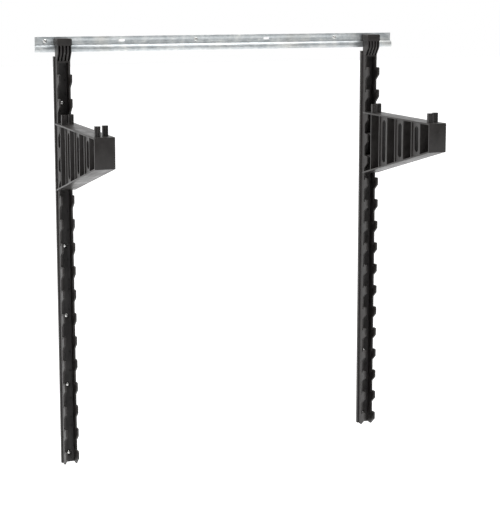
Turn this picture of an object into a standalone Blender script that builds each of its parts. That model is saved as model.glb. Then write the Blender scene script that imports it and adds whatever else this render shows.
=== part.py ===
"""Hanging file rack: a wall rail, two toothed uprights that hook over it, and two
support arms whose lugs sit in the teeth.  Metres, +Z up, front faces -Y.

Origin: back face of the rail (the wall plane is Y = 0), at the middle of its
length and on its line of fixing holes.  The rail runs along X.
"""
import math
import bpy
import bmesh
from mathutils import Matrix, Vector

MM = 0.001
NAME = "hanging_file_rack"

# ---- rail (bent galvanised sheet) -------------------------------------------
RAIL_LEN = 818.0
RAIL_T = 1.2            # sheet thickness
RAIL_TOP = 9.0          # top edge above the hole line
RAIL_BOT = -22.6        # underside of the bottom bend
LIP_Y = 8.0             # front face of the lip in front of the wall
LIP_KNEE = -13.5        # height where the lip starts to lean back
LIP_TOP = -8.5          # top edge of the lip
LIP_LEAN = 1.9          # how far the lip top leans back
HOLE_FIRST = 20.7       # first hole from the left end
HOLE_PITCH = 164.0
HOLE_R = 2.4
SLOT_LEN = 14.0
SLOT_R = 2.5

# ---- uprights (black moulded channel, open to the front) ----------------------
UP_X = (-355.15, 350.55)    # upright centres
Z0 = -67.0              # top of the first tooth
PITCH = 50.0            # tooth pitch
TEETH = 17
W_HALF = 14.2           # half width over the flanges
FL_T = 3.5              # flange thickness
FOOT_HALF = 16.8        # half width of the foot ledge
FOOT_D = 7.0
WEB_T = 4.0
D_BASE = 22.05          # front edge of the flange between teeth
D_TOOTH = 36.4          # tooth tip
TOOTH_H = 16.0          # straight outer edge of a tooth
TOOTH_END = 28.5        # where the slanting underside meets the flange edge
NOTCH_W = 4.45
NOTCH_D = 6.0
UP_END = -831.5         # cut end, below the first tooth top
UP_SHOULDER = 36.0      # top of the foot, below the rail
SCREW_EVERY = 3         # one wall screw per three teeth
SCREW_DROP = 10.0       # screw centre below the tooth top
CBORE_R = 5.8
CBORE_D = 2.2
CAP_D = 34.0            # front of the ribbed cap
CAP_BACK = 8.3
HEAD_TOP = 73.0
HEAD_BOT = 58.8
HEAD_HALF = 15.5
FLUTE_W = 3.7
FLUTE_PITCH = 7.2
FLUTE_BACK = 12.5
TONGUE = (1.8, 4.3)     # depth range of the hook tongue inside the rail

# ---- arms (black moulded box bracket) ------------------------------------------
ARM_HALF = 19.85
ARM_TOP = -100.2        # relative to the first tooth top
ARM_FRONT = 321.2
ARM_BACK = 23.0
ARM_T = 3.0
ARM_H_BACK = 139.8
ARM_H_FRONT = 59.7
BAY0 = 65.0             # back face of the first cross wall
BAY = 36.0
RIB_T = 3.0
PANEL_OUT = 17.25       # outer face of a recessed side panel
PANEL_IN = 14.75
SLOT_W = 15.0
SLOT_MARGIN = 7.0
SHELF_HALF = 10.4       # lug shelves, standing between the flanges
SHELF_T = 3.0
LUG = (22.35, 26.2)
LUG_Z = 5.7
PRONG_H = 20.0
PRONG_W = 10.4
PRONG_T = 7.0
PRONGS = ((-9.8, 302.5), (8.0, 292.0), (-10.6, 55.5), (6.4, 45.0))   # centre x, back depth

GAP = 0.3

# ---- screws ---------------------------------------------------------------------
SHANK_R = 2.0
HEAD_R = 4.0
HEAD_H = 2.4
SCREW_IN_WALL = 28.0


# ------------------------------------------------------------------------ helpers
for ob in list(bpy.data.objects):
    bpy.data.objects.remove(ob, do_unlink=True)

parts = bpy.data.collections.new(NAME)
cutters = bpy.data.collections.new(NAME + "_cutters")
bpy.context.scene.collection.children.link(parts)
bpy.context.scene.collection.children.link(cutters)


def material(name, rgb, rough, metal):
    m = bpy.data.materials.new(name)
    m.use_nodes = True
    b = m.node_tree.nodes["Principled BSDF"]
    b.inputs["Base Color"].default_value = (*rgb, 1.0)
    b.inputs["Roughness"].default_value = rough
    b.inputs["Metallic"].default_value = metal
    m.diffuse_color = (*rgb, 1.0)
    return m


def extruded(outline, plane, lo, hi):
    """A closed outline (mm) as a filled 2D curve, extruded lo..hi along the
    plane's normal and returned as a closed mesh.  plane 'dz': (depth, z) along X,
    'xz': (x, z) along depth, 'xd': (x, depth) along Z."""
    cu = bpy.data.curves.new("outline", "CURVE")
    cu.dimensions = "2D"
    cu.fill_mode = "BOTH"
    cu.extrude = (hi - lo) / 2 * MM
    sp = cu.splines.new("POLY")
    sp.points.add(len(outline) - 1)
    for p, (u, v) in zip(sp.points, outline):
        p.co = (u * MM, v * MM, 0, 1)
    sp.use_cyclic_u = True
    ob = bpy.data.objects.new("outline", cu)
    parts.objects.link(ob)
    dg = bpy.context.evaluated_depsgraph_get()
    me = bpy.data.meshes.new_from_object(ob.evaluated_get(dg))
    bpy.data.objects.remove(ob, do_unlink=True)
    bpy.data.curves.remove(cu)
    mid = (lo + hi) / 2 * MM
    if plane == "dz":       # u -> -Y, v -> Z, w -> X
        m = Matrix(((0, 0, 1, mid), (-1, 0, 0, 0), (0, 1, 0, 0), (0, 0, 0, 1)))
    elif plane == "xz":     # u -> X, v -> Z, w -> -Y
        m = Matrix(((1, 0, 0, 0), (0, 0, -1, -mid), (0, 1, 0, 0), (0, 0, 0, 1)))
    else:                   # u -> X, v -> -Y, w -> Z
        m = Matrix(((1, 0, 0, 0), (0, -1, 0, 0), (0, 0, 1, mid), (0, 0, 0, 1)))
    bm = bmesh.new()
    bm.from_mesh(me)
    bmesh.ops.remove_doubles(bm, verts=bm.verts, dist=1e-6)
    bmesh.ops.transform(bm, matrix=m, verts=bm.verts)
    bmesh.ops.recalc_face_normals(bm, faces=bm.faces)
    bm.to_mesh(me)
    bm.free()
    return me


def block(x0, x1, d0, d1, z0, z1):
    bm = bmesh.new()
    bmesh.ops.create_cube(bm, size=1.0)
    m = (Matrix.Translation(((x0 + x1) / 2 * MM, -(d0 + d1) / 2 * MM, (z0 + z1) / 2 * MM))
         @ Matrix.Diagonal(((x1 - x0) * MM, (d1 - d0) * MM, (z1 - z0) * MM, 1)))
    bmesh.ops.transform(bm, matrix=m, verts=bm.verts)
    me = bpy.data.meshes.new("block")
    bm.to_mesh(me)
    bm.free()
    return me


def drum(x, z, d0, d1, r, n=20):
    """A cylinder along the depth axis."""
    bm = bmesh.new()
    m = (Matrix.Translation((x * MM, -(d0 + d1) / 2 * MM, z * MM))
         @ Matrix.Rotation(math.pi / 2, 4, "X"))
    bmesh.ops.create_cone(bm, cap_ends=True, segments=n, radius1=r * MM, radius2=r * MM,
                          depth=(d1 - d0) * MM, matrix=m)
    me = bpy.data.meshes.new("drum")
    bm.to_mesh(me)
    bm.free()
    return me


def merged(meshes, name="merged"):
    bm = bmesh.new()
    for me in meshes:
        bm.from_mesh(me)
    out = bpy.data.meshes.new(name)
    bm.to_mesh(out)
    bm.free()
    return out


def boolean(base, other, op):
    a = bpy.data.objects.new("base", base)
    b = bpy.data.objects.new("cutter", other)
    parts.objects.link(a)
    cutters.objects.link(b)
    b.hide_render = True
    b.display_type = "WIRE"
    mod = a.modifiers.new("bool", "BOOLEAN")
    mod.object = b
    mod.operation = op
    mod.solver = "EXACT"
    dg = bpy.context.evaluated_depsgraph_get()
    me = bpy.data.meshes.new_from_object(a.evaluated_get(dg))
    bpy.data.objects.remove(a, do_unlink=True)
    bpy.data.objects.remove(b, do_unlink=True)
    return me


def union(first, *rest):
    for me in rest:
        first = boolean(first, me, "UNION")
    return first


def tidy(me):
    bm = bmesh.new()
    bm.from_mesh(me)
    bmesh.ops.remove_doubles(bm, verts=bm.verts, dist=1e-6)
    bmesh.ops.dissolve_limit(bm, angle_limit=0.0005, verts=bm.verts, edges=bm.edges)
    bmesh.ops.triangulate(bm, faces=bm.faces)
    bmesh.ops.recalc_face_normals(bm, faces=bm.faces)
    bm.to_mesh(me)
    bm.free()
    return me


def node(name, me, mat, at=(0, 0, 0), parent=None):
    me = me.copy()
    me.name = name
    me.materials.clear()
    me.materials.append(mat)
    ob = bpy.data.objects.new(name, me)
    ob.location = Vector(at) * MM
    if parent is not None:
        ob.parent = parent
    parts.objects.link(ob)
    return ob


def rounded_slot(u0, u1, v0, v1, n=6):
    """A slot standing along v with round ends."""
    r = (u1 - u0) / 2
    c = (u0 + u1) / 2
    pts = [(c + r * math.cos(a), v1 - r + r * math.sin(a))
           for a in (math.pi * i / n for i in range(n + 1))]
    pts += [(c + r * math.cos(a), v0 + r + r * math.sin(a))
            for a in (math.pi + math.pi * i / n for i in range(n + 1))]
    return pts


# --------------------------------------------------------------------------- rail
def make_rail():
    t = RAIL_T
    r = 1.4
    out = [(0, RAIL_TOP), (0, RAIL_BOT + r), (0.4, RAIL_BOT + 0.4), (r, RAIL_BOT)]
    out += [(LIP_Y - r, RAIL_BOT), (LIP_Y - 0.4, RAIL_BOT + 0.4), (LIP_Y, RAIL_BOT + r)]
    out += [(LIP_Y, LIP_KNEE), (LIP_Y - LIP_LEAN, LIP_TOP), (LIP_Y - LIP_LEAN - t, LIP_TOP - 0.4)]
    out += [(LIP_Y - t, LIP_KNEE - 0.3), (LIP_Y - t, RAIL_BOT + t + 0.4), (LIP_Y - t - 0.4, RAIL_BOT + t)]
    out += [(t + 0.4, RAIL_BOT + t), (t, RAIL_BOT + t + 0.4), (t, RAIL_TOP)]
    me = extruded(out, "dz", -RAIL_LEN / 2, RAIL_LEN / 2)
    cuts = []
    for i in range(5):
        x = -RAIL_LEN / 2 + HOLE_FIRST + i * HOLE_PITCH
        if i % 2 == 0:
            cuts.append(drum(x, 0, -2, 4, HOLE_R, 16))
        else:
            turned = [(x + b, a) for a, b in rounded_slot(-SLOT_R, SLOT_R, -SLOT_LEN / 2, SLOT_LEN / 2)]
            cuts.append(extruded(turned, "xz", -2, 4))
    return tidy(boolean(me, merged(cuts), "DIFFERENCE"))


# ------------------------------------------------------------------------- upright
def flange_outline():
    pts = [(1.0, UP_SHOULDER - 1.0), (1.0, UP_END + 0.6), (D_BASE - 3.0, UP_END), (D_BASE, UP_END + 2.2)]
    for k in range(TEETH - 1, -1, -1):
        z = -k * PITCH
        pts += [(D_BASE, z - TOOTH_END),
                (D_TOOTH - 0.6, z - TOOTH_H - 0.6), (D_TOOTH, z - TOOTH_H + 0.6),
                (D_TOOTH, z - 1.6), (D_TOOTH - 1.2, z),
                (D_BASE + NOTCH_W + 0.7, z), (D_BASE + NOTCH_W, z - 0.7),
                (D_BASE + NOTCH_W, z - NOTCH_D), (D_BASE, z - NOTCH_D)]
    pts += [(D_BASE, UP_SHOULDER - 8.0), (9.0, UP_SHOULDER - 8.0)]
    pts += [(9.0, UP_SHOULDER - 1.0)]
    return pts


def cap_outline():
    """Side profile of the ribbed cap: upright front, then slanting back."""
    return [(CAP_BACK, HEAD_BOT + 2.0), (CAP_BACK, UP_SHOULDER - GAP), (2.0, UP_SHOULDER - GAP), (2.0, 24.0),
            (D_BASE, 24.0), (D_BASE, 28.0), (CAP_D - 3.5, 40.0), (CAP_D - 0.8, 43.2),
            (CAP_D, 46.5), (CAP_D, HEAD_BOT + 2.0)]


def make_upright():
    z = lambda v: v + Z0
    sh = lambda pts: [(u, z(v)) for u, v in pts]
    web = block(-FOOT_HALF, FOOT_HALF, 0, WEB_T, z(UP_END), z(UP_SHOULDER))
    ledges = merged([block(s * 14.0 if s > 0 else -FOOT_HALF, FOOT_HALF if s > 0 else -14.0,
                           2.0, FOOT_D, z(UP_END), z(UP_SHOULDER)) for s in (-1, 1)])
    fl = sh(flange_outline())
    flanges = merged([extruded(fl, "dz", -W_HALF, -W_HALF + FL_T), extruded(fl, "dz", W_HALF - FL_T, W_HALF)])
    cap = extruded(sh(cap_outline()), "dz", -W_HALF, W_HALF)
    # head: wider, round-cornered, bridging back over the rail's lip
    r = 2.4
    top = z(HEAD_TOP)
    head = [(-HEAD_HALF, z(HEAD_BOT)), (HEAD_HALF, z(HEAD_BOT)), (HEAD_HALF, top - r),
            (HEAD_HALF - 0.7, top - 0.7), (HEAD_HALF - r, top), (-HEAD_HALF + r, top),
            (-HEAD_HALF + 0.7, top - 0.7), (-HEAD_HALF, top - r)]
    head = extruded(head, "xz", 4.6, CAP_D)
    hook = extruded([(TONGUE[0], z(HEAD_BOT) + 3.6), (TONGUE[0], z(50.2)), (TONGUE[0] + 0.8, z(49.0)),
                     (TONGUE[1] - 0.8, z(49.0)), (TONGUE[1], z(50.2)), (TONGUE[1], z(HEAD_BOT)),
                     (9.0, z(HEAD_BOT)), (9.0, z(HEAD_BOT) + 3.6)], "dz", -13.0, 13.0)
    body = union(web, ledges, flanges, cap, head, hook)
    cuts = []
    for i in range(4):
        x = (i - 1.5) * FLUTE_PITCH
        cuts.append(block(x - FLUTE_W / 2, x + FLUTE_W / 2, FLUTE_BACK, CAP_D + 5, z(26.5), z(HEAD_BOT)))
    body = boolean(body, merged(cuts), "DIFFERENCE")
    cb, th = [], []
    for k in range(1, TEETH, SCREW_EVERY):
        zz = z(-k * PITCH - SCREW_DROP)
        cb.append(drum(0, zz, WEB_T - CBORE_D, WEB_T + 2, CBORE_R, 20))
        th.append(drum(0, zz, -2, WEB_T, SHANK_R + GAP, 12))
    body = boolean(body, merged(cb), "DIFFERENCE")
    body = boolean(body, merged(th), "DIFFERENCE")
    return tidy(body)


# ----------------------------------------------------------------------------- arm
def arm_floor(d):
    """Height of the sloping underside at depth d."""
    k = (ARM_H_BACK - ARM_H_FRONT) / (ARM_FRONT - ARM_BACK)
    return ARM_TOP - ARM_H_BACK + k * (d - ARM_BACK)


def bay_outline(d0, d1, grow=0.0):
    return [(d0 - grow, arm_floor(d0 - grow) + ARM_T), (d1 + grow, arm_floor(d1 + grow) + ARM_T),
            (d1 + grow, ARM_TOP - ARM_T), (d0 - grow, ARM_TOP - ARM_T)]


def make_arm():
    z = lambda v: v + Z0
    sh = lambda pts: [(u, z(v)) for u, v in pts]
    base = extruded(sh([(ARM_BACK, ARM_TOP), (ARM_BACK, arm_floor(ARM_BACK)),
                        (ARM_FRONT, arm_floor(ARM_FRONT)), (ARM_FRONT, ARM_TOP)]), "dz", -ARM_HALF, ARM_HALF)
    cuts, slots = [], []
    big = ARM_HALF + 5
    # the open back bay, both sides
    cuts.append(extruded(sh(bay_outline(ARM_BACK - 5, BAY0 - RIB_T)), "dz", -big, big))
    edges = [BAY0 + BAY * i for i in range(8)]
    for i in range(7):
        d0 = edges[i] + (0 if i == 0 else RIB_T)
        d1 = edges[i + 1] if i < 6 else ARM_FRONT - RIB_T
        s = 1 if i % 2 == 0 else -1         # side that the panel closes
        lo, hi = (-big, PANEL_IN) if s > 0 else (-PANEL_IN, big)
        cuts.append(extruded(sh(bay_outline(d0, d1)), "dz", lo, hi))
        lo, hi = (PANEL_OUT, big) if s > 0 else (-big, -PANEL_OUT)
        cuts.append(extruded(sh(bay_outline(d0, d1)), "dz", lo, hi))
        c = (d0 + d1) / 2
        o = rounded_slot(c - SLOT_W / 2, c + SLOT_W / 2,
                         arm_floor(c) + ARM_T + SLOT_MARGIN, ARM_TOP - ARM_T - SLOT_MARGIN)
        lo, hi = (PANEL_IN - 1, PANEL_OUT + 1) if s > 0 else (-PANEL_OUT - 1, -PANEL_IN + 1)
        slots.append(extruded(sh(o), "dz", lo, hi))
    # clearance for the two teeth that the top plate sits between
    for s in (-1, 1):
        a, b = sorted((s * (W_HALF - FL_T - GAP), s * (W_HALF + GAP + 0.1)))
        cuts.append(block(a, b, ARM_BACK - 5, D_TOOTH + 0.8, z(ARM_TOP - ARM_T - 2.0), z(ARM_TOP + 5)))
    body = boolean(base, merged([cuts[0]]), "DIFFERENCE")
    body = boolean(body, merged(cuts[1:-2]), "DIFFERENCE")
    body = boolean(body, merged(cuts[-2:]), "DIFFERENCE")
    body = boolean(body, merged(slots), "DIFFERENCE")
    # lugs that sit in the tooth notches, on shelves reaching back from the first wall
    body = boolean(body, block(-15.6, 15.6, LUG[0], LUG[1], z(-2 * PITCH - LUG_Z), z(ARM_TOP - 0.6)), "UNION")
    for k in (3, 4):
        top = -k * PITCH + 2.0
        shelf = block(-SHELF_HALF, SHELF_HALF, LUG[0] + 0.6, BAY0 - 1.0, z(top - SHELF_T), z(top))
        lug = block(-W_HALF, W_HALF, LUG[0], LUG[1], z(-k * PITCH - LUG_Z), z(top - 0.6))
        body = boolean(body, boolean(shelf, lug, "UNION"), "UNION")
    prongs = []
    for cx, d in PRONGS:
        w, t = PRONG_W / 2, PRONG_T
        g = 0.9
        o = [(cx - w, d), (cx + w, d), (cx + w, d + t), (cx + 3.2, d + t), (cx + 2.6, d + t - g), (cx + 1.4, d + t - g),
             (cx + 0.8, d + t), (cx - 0.8, d + t), (cx - 1.4, d + t - g), (cx - 2.6, d + t - g),
             (cx - 3.2, d + t), (cx - w, d + t)]
        prongs.append(extruded(o, "xd", z(ARM_TOP - 1.0), z(ARM_TOP + PRONG_H)))
    body = boolean(body, merged(prongs), "UNION")
    return tidy(body)


# --------------------------------------------------------------------------- screws
def make_screw(seat, n=14):
    """Pan-head screw along the depth axis, head seated at depth `seat`."""
    prof = [(HEAD_R * 0.55, seat + HEAD_H), (HEAD_R * 0.85, seat + HEAD_H * 0.82),
            (HEAD_R, seat + HEAD_H * 0.4), (HEAD_R, seat), (SHANK_R, seat),
            (SHANK_R, -SCREW_IN_WALL + 4.0), (0.5, -SCREW_IN_WALL)]
    bm = bmesh.new()
    rings = []
    for r, d in prof:
        rings.append([bm.verts.new((r * math.cos(2 * math.pi * i / n) * MM, -d * MM,
                                    r * math.sin(2 * math.pi * i / n) * MM)) for i in range(n)])
    for a, b in zip(rings, rings[1:]):
        for i in range(n):
            bm.faces.new((a[i], a[(i + 1) % n], b[(i + 1) % n], b[i]))
    bm.faces.new(rings[0])
    bm.faces.new(list(reversed(rings[-1])))
    bmesh.ops.recalc_face_normals(bm, faces=bm.faces)
    me = bpy.data.meshes.new("screw")
    bm.to_mesh(me)
    bm.free()
    return me


# ------------------------------------------------------------------------- assembly
zinc = material("galvanised_steel", (0.62, 0.65, 0.66), 0.38, 1.0)
black = material("black_plastic", (0.045, 0.042, 0.040), 0.5, 0.0)
arm_black = material("arm_plastic", (0.052, 0.049, 0.046), 0.45, 0.0)
steel = material("screw_steel", (0.72, 0.72, 0.71), 0.25, 1.0)

node("wall_rail", make_rail(), zinc)
rail_screw = make_screw(RAIL_T + GAP)
for n, i in enumerate((0, 2, 4), 1):
    node("rail_screw_%d" % n, rail_screw, steel, at=(-RAIL_LEN / 2 + HOLE_FIRST + i * HOLE_PITCH, 0, 0))

upright = make_upright()
arm = make_arm()
up_screw = make_screw(WEB_T - CBORE_D + GAP)
for side, x in zip(("left", "right"), UP_X):
    rack = bpy.data.objects.new(side + "_upright_axis", None)
    rack.location = (x * MM, 0, 0)
    parts.objects.link(rack)
    node(side + "_upright", upright, black, parent=rack)
    for n, k in enumerate(range(1, TEETH, SCREW_EVERY), 1):
        node("%s_upright_screw_%d" % (side, n), up_screw, steel,
             at=(0, 0, Z0 - k * PITCH - SCREW_DROP), parent=rack)
    node(side + "_arm", arm, arm_black, parent=rack)
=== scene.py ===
import math
import random

import bpy
import bmesh
from mathutils import Matrix, Vector


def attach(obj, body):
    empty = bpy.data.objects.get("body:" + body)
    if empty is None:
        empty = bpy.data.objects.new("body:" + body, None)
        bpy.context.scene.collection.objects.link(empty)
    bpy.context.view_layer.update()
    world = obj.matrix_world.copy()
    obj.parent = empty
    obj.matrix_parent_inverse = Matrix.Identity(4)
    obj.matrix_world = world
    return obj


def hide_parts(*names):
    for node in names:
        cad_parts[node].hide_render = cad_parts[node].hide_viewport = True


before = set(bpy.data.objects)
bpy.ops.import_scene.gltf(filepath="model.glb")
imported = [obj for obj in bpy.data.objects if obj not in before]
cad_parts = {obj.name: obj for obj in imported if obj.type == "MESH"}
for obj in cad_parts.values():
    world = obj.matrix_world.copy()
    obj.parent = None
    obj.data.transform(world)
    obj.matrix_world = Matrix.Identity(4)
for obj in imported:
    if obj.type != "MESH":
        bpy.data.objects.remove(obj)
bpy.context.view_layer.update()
MM = 0.001

# positions on the uprights, in the frame's own axes
UP_X = {"left": -0.35515, "right": 0.35055}
Z0 = -0.067             # top of the first tooth
ARM_TOP = -0.1672
FRONT = -0.3212

# ------------------------------------------------------------------ camera
cam_data = bpy.data.cameras.new("camera")
cam = bpy.data.objects.new("camera", cam_data)
bpy.context.scene.collection.objects.link(cam)
bpy.context.scene.camera = cam
cam_data.lens = 1312.5 / 520 * 36
cam_data.sensor_width = 36
cam_data.shift_x = 0.0
cam_data.shift_y = -0.165
cam_data.clip_end = 60
cam_data.dof.use_dof = False
bpy.context.scene.view_settings.view_transform = "Standard"
YAW, PIT = 0.387, -0.137
fwd = Vector((math.sin(YAW) * math.cos(PIT), math.cos(YAW) * math.cos(PIT), math.sin(PIT)))
cam.rotation_mode = "QUATERNION"
cam.rotation_quaternion = fwd.to_track_quat("-Z", "Y")
cam.location = (-1.01715, -2.657, 0.09734)


# --------------------------------------------------------------- materials
class Nodes:
    """Small helper for building a material's node tree."""

    def __init__(self, name):
        self.mat = bpy.data.materials.new(name)
        self.mat.use_nodes = True
        self.nt = self.mat.node_tree
        self.bsdf = self.nt.nodes["Principled BSDF"]
        self.co = self.new("ShaderNodeTexCoord").outputs["Object"]

    def new(self, kind, **props):
        n = self.nt.nodes.new(kind)
        for k, v in props.items():
            setattr(n, k, v)
        return n

    def link(self, a, b):
        self.nt.links.new(a, b)

    def scaled(self, sx, sy, sz):
        m = self.new("ShaderNodeMapping")
        m.inputs["Scale"].default_value = (sx, sy, sz)
        self.link(self.co, m.inputs["Vector"])
        return m.outputs["Vector"]

    def noise(self, scale, detail=4, rough=0.55, vec=None):
        n = self.new("ShaderNodeTexNoise")
        n.inputs["Scale"].default_value = scale
        n.inputs["Detail"].default_value = detail
        n.inputs["Roughness"].default_value = rough
        self.link(vec or self.co, n.inputs["Vector"])
        return n.outputs["Fac"]

    def voronoi(self, scale, out="Color", vec=None):
        n = self.new("ShaderNodeTexVoronoi")
        n.inputs["Scale"].default_value = scale
        self.link(vec or self.co, n.inputs["Vector"])
        return n.outputs[out]

    def ramp(self, fac, stops):
        r = self.new("ShaderNodeValToRGB")
        e = r.color_ramp.elements
        e[0].position, e[0].color = stops[0][0], (*stops[0][1], 1)
        e[1].position, e[1].color = stops[-1][0], (*stops[-1][1], 1)
        for p, c in stops[1:-1]:
            x = e.new(p)
            x.color = (*c, 1)
        self.link(fac, r.inputs["Fac"])
        return r.outputs["Color"]

    def map(self, v, lo, hi, a, b):
        m = self.new("ShaderNodeMapRange")
        for k, x in zip(("From Min", "From Max", "To Min", "To Max"), (lo, hi, a, b)):
            m.inputs[k].default_value = x
        self.link(v, m.inputs["Value"])
        return m.outputs["Result"]

    def mix(self, fac, a, b, blend="MIX"):
        m = self.new("ShaderNodeMix", data_type="RGBA", blend_type=blend)
        for sock, v in ((m.inputs[0], fac), (m.inputs[6], a), (m.inputs[7], b)):
            if isinstance(v, (int, float)):
                sock.default_value = v
            elif isinstance(v, tuple):
                sock.default_value = (*v, 1)
            else:
                self.link(v, sock)
        return m.outputs[2]

    def math(self, op, a, b=0.0):
        m = self.new("ShaderNodeMath", operation=op)
        for sock, v in zip(m.inputs, (a, b)):
            if isinstance(v, (int, float)):
                sock.default_value = v
            else:
                self.link(v, sock)
        return m.outputs[0]

    def bump(self, height, strength, dist=0.001, normal=None):
        b = self.new("ShaderNodeBump")
        b.inputs["Strength"].default_value = strength
        b.inputs["Distance"].default_value = dist
        self.link(height, b.inputs["Height"])
        if normal is not None:
            self.link(normal, b.inputs["Normal"])
        return b.outputs["Normal"]

    def put(self, socket, v):
        if isinstance(v, (int, float)):
            self.bsdf.inputs[socket].default_value = v
        elif isinstance(v, tuple):
            self.bsdf.inputs[socket].default_value = (*v, 1)
        else:
            self.link(v, self.bsdf.inputs[socket])


def zinc_material():
    m = Nodes("galvanised_zinc")
    spangle = m.voronoi(170, "Color", m.scaled(1.0, 1.0, 1.6))
    sep = m.new("ShaderNodeSeparateColor")
    m.link(spangle, sep.inputs[0])
    cloud = m.noise(42, 5, 0.6)
    base = m.ramp(cloud, [(0.28, (0.52, 0.56, 0.58)), (0.5, (0.66, 0.69, 0.70)), (0.74, (0.80, 0.81, 0.79))])
    tone = m.ramp(sep.outputs[0], [(0.0, (0.80, 0.82, 0.83)), (1.0, (1.0, 1.0, 1.0))])
    base = m.mix(0.8, base, tone, "MULTIPLY")
    warm = m.map(m.noise(9, 3, 0.5), 0.55, 0.75, 0.0, 0.45)
    base = m.mix(warm, base, (0.66, 0.62, 0.55))
    grime = m.map(m.noise(260, 3, 0.7), 0.62, 0.78, 0.0, 0.5)
    base = m.mix(grime, base, (0.30, 0.31, 0.31))
    m.put("Base Color", base)
    m.put("Metallic", 0.85)
    m.put("Roughness", m.map(m.math("ADD", cloud, m.math("MULTIPLY", sep.outputs[1], 0.25)), 0.3, 0.95, 0.28, 0.52))
    brush = m.noise(1.0, 3, 0.6, m.scaled(14, 900, 1500))
    n = m.bump(brush, 0.06, 0.0004)
    m.put("Normal", m.bump(m.noise(150, 4, 0.6), 0.10, 0.0008, n))
    return m.mat


def plastic_material(name, dark, light, rough, streak, edge_highlight_strength):
    """Black moulded plastic: fine grain, flow streaks, handling haze, and a painted highlight that lightens the
    bevelled edges.
    """
    m = Nodes(name)
    cloud = m.noise(26, 5, 0.6)
    flow = m.noise(1.0, 4, 0.6, m.scaled(*streak))
    base = m.ramp(m.math("ADD", m.math("MULTIPLY", cloud, 0.55), m.math("MULTIPLY", flow, 0.45)),
                  [(0.32, dark), (0.68, light)])
    dust = m.map(m.noise(340, 2, 0.5), 0.66, 0.76, 0.0, 0.35)
    base = m.mix(dust, base, tuple(min(1, c * 2.6) for c in light))
    # painted highlight: the flagged bevel faces are mixed towards a paler grey to stand in for light catching the
    # rounded edges
    edge_highlight_attr = m.new("ShaderNodeAttribute", attribute_name="painted_edge_highlight")
    painted_edge_highlight = m.math("MULTIPLY", edge_highlight_attr.outputs["Fac"], m.map(m.noise(120, 3, 0.6), 0.35, 0.65, 0.25 * edge_highlight_strength, edge_highlight_strength))
    base = m.mix(painted_edge_highlight, base, (0.17, 0.165, 0.16))
    m.put("Base Color", base)
    m.put("Roughness", m.map(m.math("ADD", cloud, flow), 0.7, 1.3, rough - 0.10, rough + 0.12))
    m.put("Specular IOR Level", 0.34)
    n = m.bump(m.noise(1500, 2, 0.5), 0.10, 0.0002)
    m.put("Normal", m.bump(flow, 0.10, 0.0006, n))
    return m.mat


def steel_material():
    m = Nodes("bright_screw_steel")
    cloud = m.noise(500, 3, 0.6)
    m.put("Base Color", m.ramp(cloud, [(0.3, (0.55, 0.55, 0.54)), (0.7, (0.82, 0.82, 0.80))]))
    m.put("Metallic", 1.0)
    m.put("Roughness", m.map(cloud, 0.3, 0.7, 0.16, 0.34))
    m.put("Normal", m.bump(m.noise(2600, 2, 0.5), 0.10, 0.0002))
    return m.mat


ZINC = zinc_material()
BLACK = plastic_material("upright_black_plastic", (0.011, 0.0098, 0.0093), (0.025, 0.0222, 0.0212), 0.42, (60, 60, 7), 0.75)
ARM = plastic_material("arm_black_plastic", (0.012, 0.0108, 0.0104), (0.028, 0.0255, 0.0245), 0.38, (90, 12, 60), 1.0)
# darker, rougher copy of the black plastic for the pin marks: the darker colour is painted shade for the sunk discs,
# the rougher finish is the marks' own
PAINTED_SHADE_PLASTIC = plastic_material("black_plastic_painted_shade", (0.008, 0.0072, 0.0070), (0.016, 0.0150, 0.0145), 0.55, (60, 60, 60), 0.2)
STEEL = steel_material()


# ------------------------------------------------------------------ pieces
def link(ob, body, mat):
    bpy.context.scene.collection.objects.link(ob)
    ob.data.materials.clear()
    ob.data.materials.append(mat)
    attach(ob, body)
    return ob


def smooth(me, angle=35):
    me.shade_smooth()
    me.set_sharp_from_angle(angle=math.radians(angle))


def softened(node, name, body, mat, width, extra=None, angle=25):
    """The CAD node's own shape with its moulded or sheared edges rounded."""
    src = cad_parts[node]
    bm = bmesh.new()
    bm.from_mesh(src.data)
    bmesh.ops.remove_doubles(bm, verts=bm.verts, dist=2e-6)
    bmesh.ops.dissolve_limit(bm, angle_limit=math.radians(0.6), verts=bm.verts, edges=bm.edges)
    sharp = [e for e in bm.edges if len(e.link_faces) == 2
             and e.calc_face_angle(0) > math.radians(angle) and e.calc_length() > width * 1.6]
    # flag the bevel faces so the plastic materials can paint a highlight on the rounded edges
    painted_edge_highlight = bm.faces.layers.float.new("painted_edge_highlight")
    done = bmesh.ops.bevel(bm, geom=sharp, offset=width, offset_type="OFFSET", segments=2, profile=0.6,
                           affect="EDGES", clamp_overlap=True)
    for fc in done["faces"]:
        fc[painted_edge_highlight] = 1.0
    bmesh.ops.triangulate(bm, faces=[f for f in bm.faces if len(f.verts) > 4])
    me = bpy.data.meshes.new(name)
    bm.to_mesh(me)
    bm.free()
    smooth(me, 50)
    ob = bpy.data.objects.new(name, me)
    link(ob, body, mat)
    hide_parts(node)
    return ob


def lathe_y(profile, n, centre):
    """Rings of (radius, depth) round an axis along the depth direction."""
    bm = bmesh.new()
    rings = []
    for r, d in profile:
        if r <= 1e-6:
            rings.append([bm.verts.new((centre[0], -d, centre[2]))])
        else:
            rings.append([bm.verts.new((centre[0] + r * math.cos(2 * math.pi * i / n), -d,
                                        centre[2] + r * math.sin(2 * math.pi * i / n))) for i in range(n)])
    for a, b in zip(rings, rings[1:]):
        for i in range(n):
            j = (i + 1) % n
            if len(a) == 1:
                bm.faces.new((a[0], b[j], b[i]))
            elif len(b) == 1:
                bm.faces.new((a[i], a[j], b[0]))
            else:
                bm.faces.new((a[i], a[j], b[j], b[i]))
    bmesh.ops.recalc_face_normals(bm, faces=bm.faces)
    return bm


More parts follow.
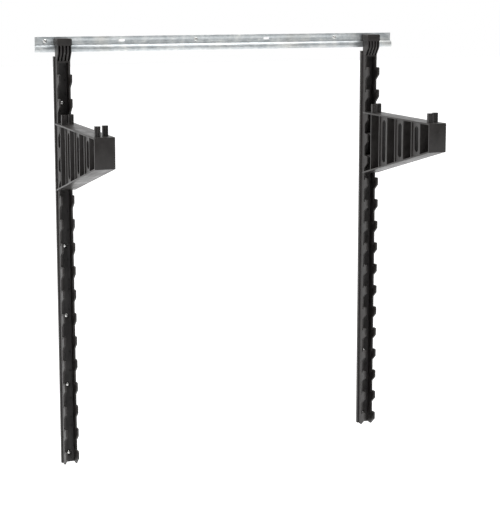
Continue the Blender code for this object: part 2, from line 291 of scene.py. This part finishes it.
def cut(bm, cutter):
    """Subtracts one bmesh from another with an exact Boolean."""
    obs = []
    for b in (bm, cutter):
        me = bpy.data.meshes.new("tmp")
        b.to_mesh(me)
        ob = bpy.data.objects.new("tmp", me)
        bpy.context.scene.collection.objects.link(ob)
        obs.append(ob)
    mod = obs[0].modifiers.new("cut", "BOOLEAN")
    mod.operation, mod.solver, mod.object = "DIFFERENCE", "EXACT", obs[1]
    dg = bpy.context.evaluated_depsgraph_get()
    me = bpy.data.meshes.new_from_object(obs[0].evaluated_get(dg))
    for ob in obs:
        bpy.data.objects.remove(ob, do_unlink=True)
    return me


def screw_mesh(seat, turn):
    """Pan-head screw: domed head with a cross recess, and a threaded shank."""
    s = seat * MM
    R, H, r = 4.0 * MM, 2.4 * MM, 1.99 * MM
    prof = [(0, s + H)]
    for i in range(1, 7):
        a = math.radians(90 - i * 13)
        prof.append((R * 0.985 * math.cos(a), s + H * 0.45 + (H * 0.55) * math.sin(a)))
    prof += [(R, s + H * 0.40), (R, s + 0.12 * MM), (R - 0.15 * MM, s), (r, s)]
    d = s - 0.6 * MM
    pitch = 1.4 * MM
    while d > -25.5 * MM:
        prof += [(r, d), (r * 0.74, d - pitch * 0.3), (r * 0.74, d - pitch * 0.7)]
        d -= pitch
    prof += [(r * 0.6, -26.2 * MM), (0, -27.9 * MM)]
    bm = lathe_y(prof, 28, (0, 0, 0))
    cross = bmesh.new()
    for k in range(2):
        c = bmesh.new()
        bmesh.ops.create_cube(c, size=1.0)
        for v in c.verts:
            deep = v.co.y > 0
            v.co.x *= (2.2 if deep else 4.4) * MM
            v.co.z *= (0.55 if deep else 0.95) * MM
            v.co.y = -(s + H - 1.5 * MM) if deep else -(s + H + 0.6 * MM)
        bmesh.ops.rotate(c, verts=c.verts, cent=(0, 0, 0), matrix=Matrix.Rotation(turn + k * math.pi / 2, 3, "Y"))
        tmp = bpy.data.meshes.new("c")
        c.to_mesh(tmp)
        if k == 0:
            cross.from_mesh(tmp)
        else:
            bm_me = cut(bm, cross)
            bm = bmesh.new()
            bm.from_mesh(bm_me)
            cross = bmesh.new()
            cross.from_mesh(tmp)
    me = cut(bm, cross)
    smooth(me, 40)
    return me


def add_screw(node, body, x, z, seat, turn):
    me = screw_mesh(seat, turn)
    me.transform(Matrix.Translation((x, 0, z)))
    ob = bpy.data.objects.new(node + "_fine", me)
    link(ob, body, STEEL)
    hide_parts(node)


# rail and its screws
softened("wall_rail", "rail_sheet", "rail", ZINC, 0.25 * MM)
rnd = random.Random(7)
for n, i in enumerate((0, 2, 4), 1):
    add_screw("rail_screw_%d" % n, "rail", (-409 + 20.7 + 164.0 * i) * MM, 0, 1.5, rnd.uniform(0, 1.5))

# uprights: softened mouldings, screws, ejector-pin marks
MARKS_L = ((5.8, -13.4), (-5.6, -13.1), (7.2, -42.8), (-7.2, -42.4), (7.0, 14.6), (6.8, -287.3), (6.8, -327.8),
           (-7.2, -390), (6.4, -389.7), (-7.0, -432.4), (6.8, -433.2), (6.8, -454), (6.4, -497.1), (6.8, -526.9),
           (-7.2, -589.2), (6.4, -589.6), (6.4, -630.2), (6.4, -690.8), (6.8, -732.6), (6.8, -752))


def ring_mark(x, z, r, face, body, name, proud=0.22):
    """A round ejector-pin witness: a low rim round a slightly sunk disc, drawn in a darker copy of the plastic as
    painted shade.
    """
    f = face * MM
    p = proud * MM
    bm = lathe_y([(0, f + p * 0.35), ((r - 0.55) * MM, f + p * 0.35), ((r - 0.4) * MM, f + p),
                  ((r - 0.1) * MM, f + p), (r * MM, f - 0.15 * MM), (0, f - 0.15 * MM)], 24, (x, 0, z))
    me = bpy.data.meshes.new(name)
    bm.to_mesh(me)
    bm.free()
    smooth(me, 40)
    ob = bpy.data.objects.new(name, me)
    return link(ob, body, PAINTED_SHADE_PLASTIC)


for side in ("left", "right"):
    body = side + "_upright"
    x0 = UP_X[side]
    softened(body, side + "_upright_moulding", body, BLACK, 0.35 * MM)
    for n, k in enumerate(range(1, 17, 3), 1):
        add_screw("%s_upright_screw_%d" % (side, n), body, x0, Z0 - (k * 50 + 10) * MM, 2.1, rnd.uniform(0, 1.5))
    for n, (mx, mz) in enumerate(MARKS_L, 1):
        ring_mark(x0 + mx * MM, Z0 + mz * MM, 2.5, 4.0, body, "%s_pin_mark_%02d" % (side, n))
    dimples = ((5.2, 64.6),) if side == "left" else ((-4.0, 65.0), (2.6, 65.2))
    for n, (mx, mz) in enumerate(dimples, 1):
        ring_mark(x0 + mx * MM, Z0 + mz * MM, 1.9, 33.9, body, "%s_cap_mark_%d" % (side, n), 0.1)

# arms
for side in ("left", "right"):
    body = side + "_arm"
    softened(body, side + "_arm_moulding", body, ARM, 0.45 * MM)

# ------------------------------------------------------------ floor, light
floor_me = bpy.data.meshes.new("floor")
bm = bmesh.new()
bmesh.ops.create_grid(bm, x_segments=8, y_segments=8, size=30)
bm.to_mesh(floor_me)
bm.free()
floor = bpy.data.objects.new("floor", floor_me)
bpy.context.scene.collection.objects.link(floor)
floor.location = (0, 0, -1.75)
f = Nodes("pale_floor")
f.put("Base Color", f.ramp(f.noise(3, 3, 0.5), [(0.3, (0.93, 0.93, 0.93)), (0.7, (0.95, 0.95, 0.95))]))
f.put("Roughness", 0.9)
f.put("Emission Color", (1.0, 1.0, 1.0))
f.put("Emission Strength", 0.55)
floor_me.materials.append(f.mat)

world = bpy.data.worlds.new("studio")
bpy.context.scene.world = world
world.use_nodes = True
nt = world.node_tree
bg = nt.nodes["Background"]
tc = nt.nodes.new("ShaderNodeTexCoord")
sx = nt.nodes.new("ShaderNodeSeparateXYZ")
nt.links.new(tc.outputs["Generated"], sx.inputs[0])
mr = nt.nodes.new("ShaderNodeMapRange")
mr.interpolation_type = "SMOOTHSTEP"
for k, v in zip(("From Min", "From Max", "To Min", "To Max"), (-0.75, 0.35, 0.10, 1.05)):
    mr.inputs[k].default_value = v
nt.links.new(sx.outputs["Y"], mr.inputs["Value"])
lp = nt.nodes.new("ShaderNodeLightPath")
mx = nt.nodes.new("ShaderNodeMix")
nt.links.new(lp.outputs["Is Camera Ray"], mx.inputs[0])
nt.links.new(mr.outputs["Result"], mx.inputs[2])
mx.inputs[3].default_value = 1.0
nt.links.new(mx.outputs[0], bg.inputs["Strength"])
bg.inputs["Color"].default_value = (1, 1, 1, 1)


def area(name, loc, target, size, power):
    d = bpy.data.lights.new(name, "AREA")
    d.shape = "RECTANGLE"
    d.size, d.size_y = size
    d.energy = power
    o = bpy.data.objects.new(name, d)
    bpy.context.scene.collection.objects.link(o)
    o.location = loc
    o.rotation_mode = "QUATERNION"
    o.rotation_quaternion = (Vector(target) - Vector(loc)).to_track_quat("-Z", "Y")


area("top_soft", (-0.3, -0.5, 2.6), (0, -0.1, -0.4), (2.4, 1.6), 60)
area("lip_soft", (1.3, -2.6, 2.2), (0, 0, 0), (2.4, 0.8), 42)
area("left_soft", (-3.0, -0.8, 0.6), (0, -0.1, -0.4), (1.6, 2.4), 45)
